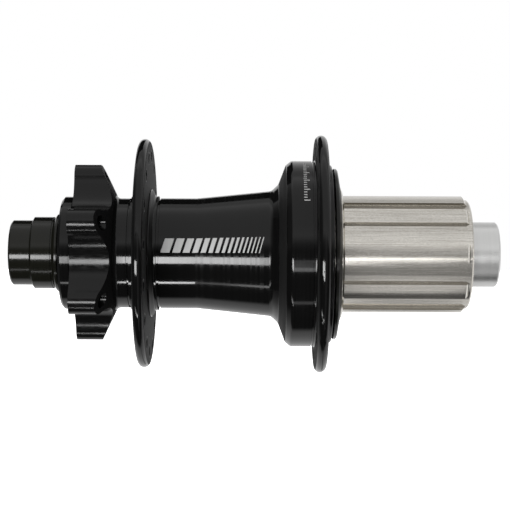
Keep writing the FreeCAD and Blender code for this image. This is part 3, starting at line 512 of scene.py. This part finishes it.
# The strip lights, at elevations in degrees and from start to end along X. To the camera, a plain cylinder
# of the hub reflects the stretch of a light at a little over three times its own x. The rows are divided
# to suit, so that each part of the hub gets its own share: a main row for the broad highlight, a low row
# for the thin one under it, and a fill for the freehub and the right cap. Each row's lights lie end to end.
STRIPS = {
    "main_left": {"elevation": -14.5, "spread": 13.5, "radiance": 18.0, "start": -0.8, "end": -0.2},
    "main_cone": {"elevation": -14.5, "spread": 13.5, "radiance": 8.0, "start": -0.2, "end": -0.13},
    "main_waist": {"elevation": -14.5, "spread": 13.5, "radiance": 20.0, "start": -0.13, "end": -0.045},
    "main_step": {"elevation": -14.5, "spread": 13.5, "radiance": 3.0, "start": -0.045, "end": 0.018},
    "housing_high": {"elevation": -10.0, "spread": 4.5, "radiance": 0.95, "start": 0.018, "end": 0.07},
    "housing_middle": {"elevation": -14.5, "spread": 4.5, "radiance": 1.3, "start": 0.018, "end": 0.07},
    "housing_low": {"elevation": -19.0, "spread": 4.5, "radiance": 4.0, "start": 0.018, "end": 0.07},
    "main_freehub": {"elevation": -9.0, "spread": 2.4, "radiance": 2.8, "start": 0.07, "end": 0.21},
    "main_cap": {"elevation": -7.5, "spread": 4.0, "radiance": 0.1, "start": 0.21, "end": 0.8},
    "low_left": {"elevation": -63.5, "spread": 4.0, "radiance": 8.0, "start": -0.8, "end": -0.27},
    "low_cone": {"elevation": -63.5, "spread": 4.0, "radiance": 1.6, "start": -0.27, "end": -0.195},
    "low_cone_end": {"elevation": -63.5, "spread": 4.0, "radiance": 4.5, "start": -0.195, "end": -0.13},
    "low_waist": {"elevation": -63.5, "spread": 4.0, "radiance": 24.0, "start": -0.13, "end": -0.045},
    "low_step": {"elevation": -63.5, "spread": 4.0, "radiance": 2.0, "start": -0.045, "end": 0.018},
    "low_housing": {"elevation": -61.5, "spread": 4.0, "radiance": 1.3, "start": 0.018, "end": 0.07},
    "fill_high": {"elevation": 3.0, "spread": 34.0, "radiance": 0.38, "start": 0.08, "end": 0.21},
    "fill_middle": {"elevation": -30.0, "spread": 32.0, "radiance": 0.26, "start": 0.08, "end": 0.21},
    "fill_low": {"elevation": -64.0, "spread": 36.0, "radiance": 0.54, "start": 0.08, "end": 0.21},
    "fill_under": {"elevation": -92.0, "spread": 20.0, "radiance": 0.09, "start": 0.08, "end": 0.21},
    "fill_cap": {"elevation": -28.0, "spread": 96.0, "radiance": 0.18, "start": 0.21, "end": 0.8},
}

# Cards that only reflections see, each as bright as its level. The black one keeps the top edge of the
# waist dark, and the grey one dims the under side of the freehub.
CARDS = {
    "black_card": {"elevation": 140.0, "spread": 34.0, "level": 0.0, "start": -0.8, "end": 0.02},
    "grey_card": {"elevation": -130.0, "spread": 50.0, "level": 0.4, "start": 0.09, "end": 0.205},
}


def add_ramp(graph, position, stops):
    """A grey level that follows a list of (position, level) stops, from position 0 to 1."""
    ramp = graph.add("ShaderNodeValToRGB", {0: position})
    elements = ramp.color_ramp.elements
    first, *middle, last = stops
    for element, level in ((elements[0], first[1]), (elements[1], last[1])):
        element.color = (level, level, level, 1.0)
    for place, level in middle:
        elements.new(place).color = (level, level, level, 1.0)
    return ramp.outputs[0]


def add_tent():
    """Soft light in bands parallel to the axle, dim at the left end. The camera sees a white backdrop."""
    world = bpy.data.worlds.new("studio_tent")
    bpy.context.scene.world = world
    world.use_nodes = True
    graph = Graph(world.node_tree)
    direction = graph.add("ShaderNodeTexCoord").outputs["Generated"]
    x, y, z = graph.parts(direction)
    angle = graph.math("ARCTAN2", z, graph.math("MULTIPLY", y, -1.0))
    turn = graph.math("ADD", graph.math("DIVIDE", angle, 2 * math.pi), 0.5)
    bands = add_ramp(graph, turn, [((degrees + 180) / 360, level) for degrees, level in TENT])
    fade = graph.between(x, TENT_END_LEVEL, 1.0, *TENT_FADE)
    tent = graph.add("ShaderNodeBackground", {"Color": bands, "Strength": fade})
    backdrop = graph.add("ShaderNodeBackground", {"Color": WHITE})
    seen = graph.add("ShaderNodeLightPath").outputs["Is Camera Ray"]
    chosen = graph.add("ShaderNodeMixShader", {0: seen, 1: tent.outputs[0], 2: backdrop.outputs[0]})
    graph.feed(world.node_tree.nodes["World Output"].inputs["Surface"], chosen.outputs[0])


def add_card(name, elevation, spread, level, start, end):
    """A flat card parallel to the axle, from start to end along X, that faces the hub."""
    half = width_of(spread) / 2
    mesh = bmesh.new()
    corners = [(start, -half), (end, -half), (end, half), (start, half)]
    mesh.faces.new([mesh.verts.new((x, y, 0.0)) for x, y in corners])
    shader = Shader(name, Roughness=1.0, Emission_Color=WHITE, Emission_Strength=level)
    cloud = shader.noise(shader.point(), 50.0 * MM)
    shader.feed(shader.surface.inputs["Base Color"], shader.tint(cloud, (0.01,) * 3, (0.02,) * 3))
    card = add_object(name, mesh, shader.material)
    card.location = around_axle(0.0, elevation)
    card.rotation_euler = (math.radians(90.0 - elevation), 0.0, 0.0)
    for kind in ("camera", "diffuse", "shadow"):
        setattr(card, f"visible_{kind}", False)


def add_floor():
    """A pale round floor just under the hub. It takes shadows, and stays out of the reflections."""
    radius, gap = 3.0, 0.02 * MM
    mesh = bmesh.new()
    bmesh.ops.create_circle(mesh, cap_ends=True, segments=96, radius=radius)
    shader = Shader("pale_floor", Roughness=0.9, Emission_Color=WHITE, Emission_Strength=1.2)
    cloud = shader.noise(shader.point(), 0.2, detail=2.0)
    shader.feed(shader.surface.inputs["Base Color"], shader.tint(cloud, (0.92,) * 3, (0.95,) * 3))
    floor = add_object("floor", mesh, shader.material)
    floor.location.z = CAD_LOW.z - gap
    for kind in ("glossy", "diffuse", "shadow"):
        setattr(floor, f"visible_{kind}", False)


def add_camera():
    """Level with the axle and square to it, from a little under half a metre, rolled very slightly."""
    data = bpy.data.cameras.new("camera")
    data.sensor_width, data.lens = 36.0, 103.2
    roll = math.radians(-0.27)
    camera = bpy.data.objects.new("camera", data)
    camera.location = (0.22 * MM, -430.0 * MM, -0.41 * MM)
    camera.rotation_euler = (math.radians(90.0), roll, 0.0)
    bpy.context.scene.collection.objects.link(camera)
    bpy.context.scene.camera = camera


add_camera()
finish_cad_nodes()
shell_skin = Skin("hub_shell")
etched = etched_grey()
add_waist_marks(shell_skin, etched)
add_housing_marks(shell_skin, etched)
add_tent()
for name, light in STRIPS.items():
    add_strip(name, **light)
for name, card in CARDS.items():
    add_card(name, **card)
add_floor()
bpy.context.scene.view_settings.view_transform = "Standard"
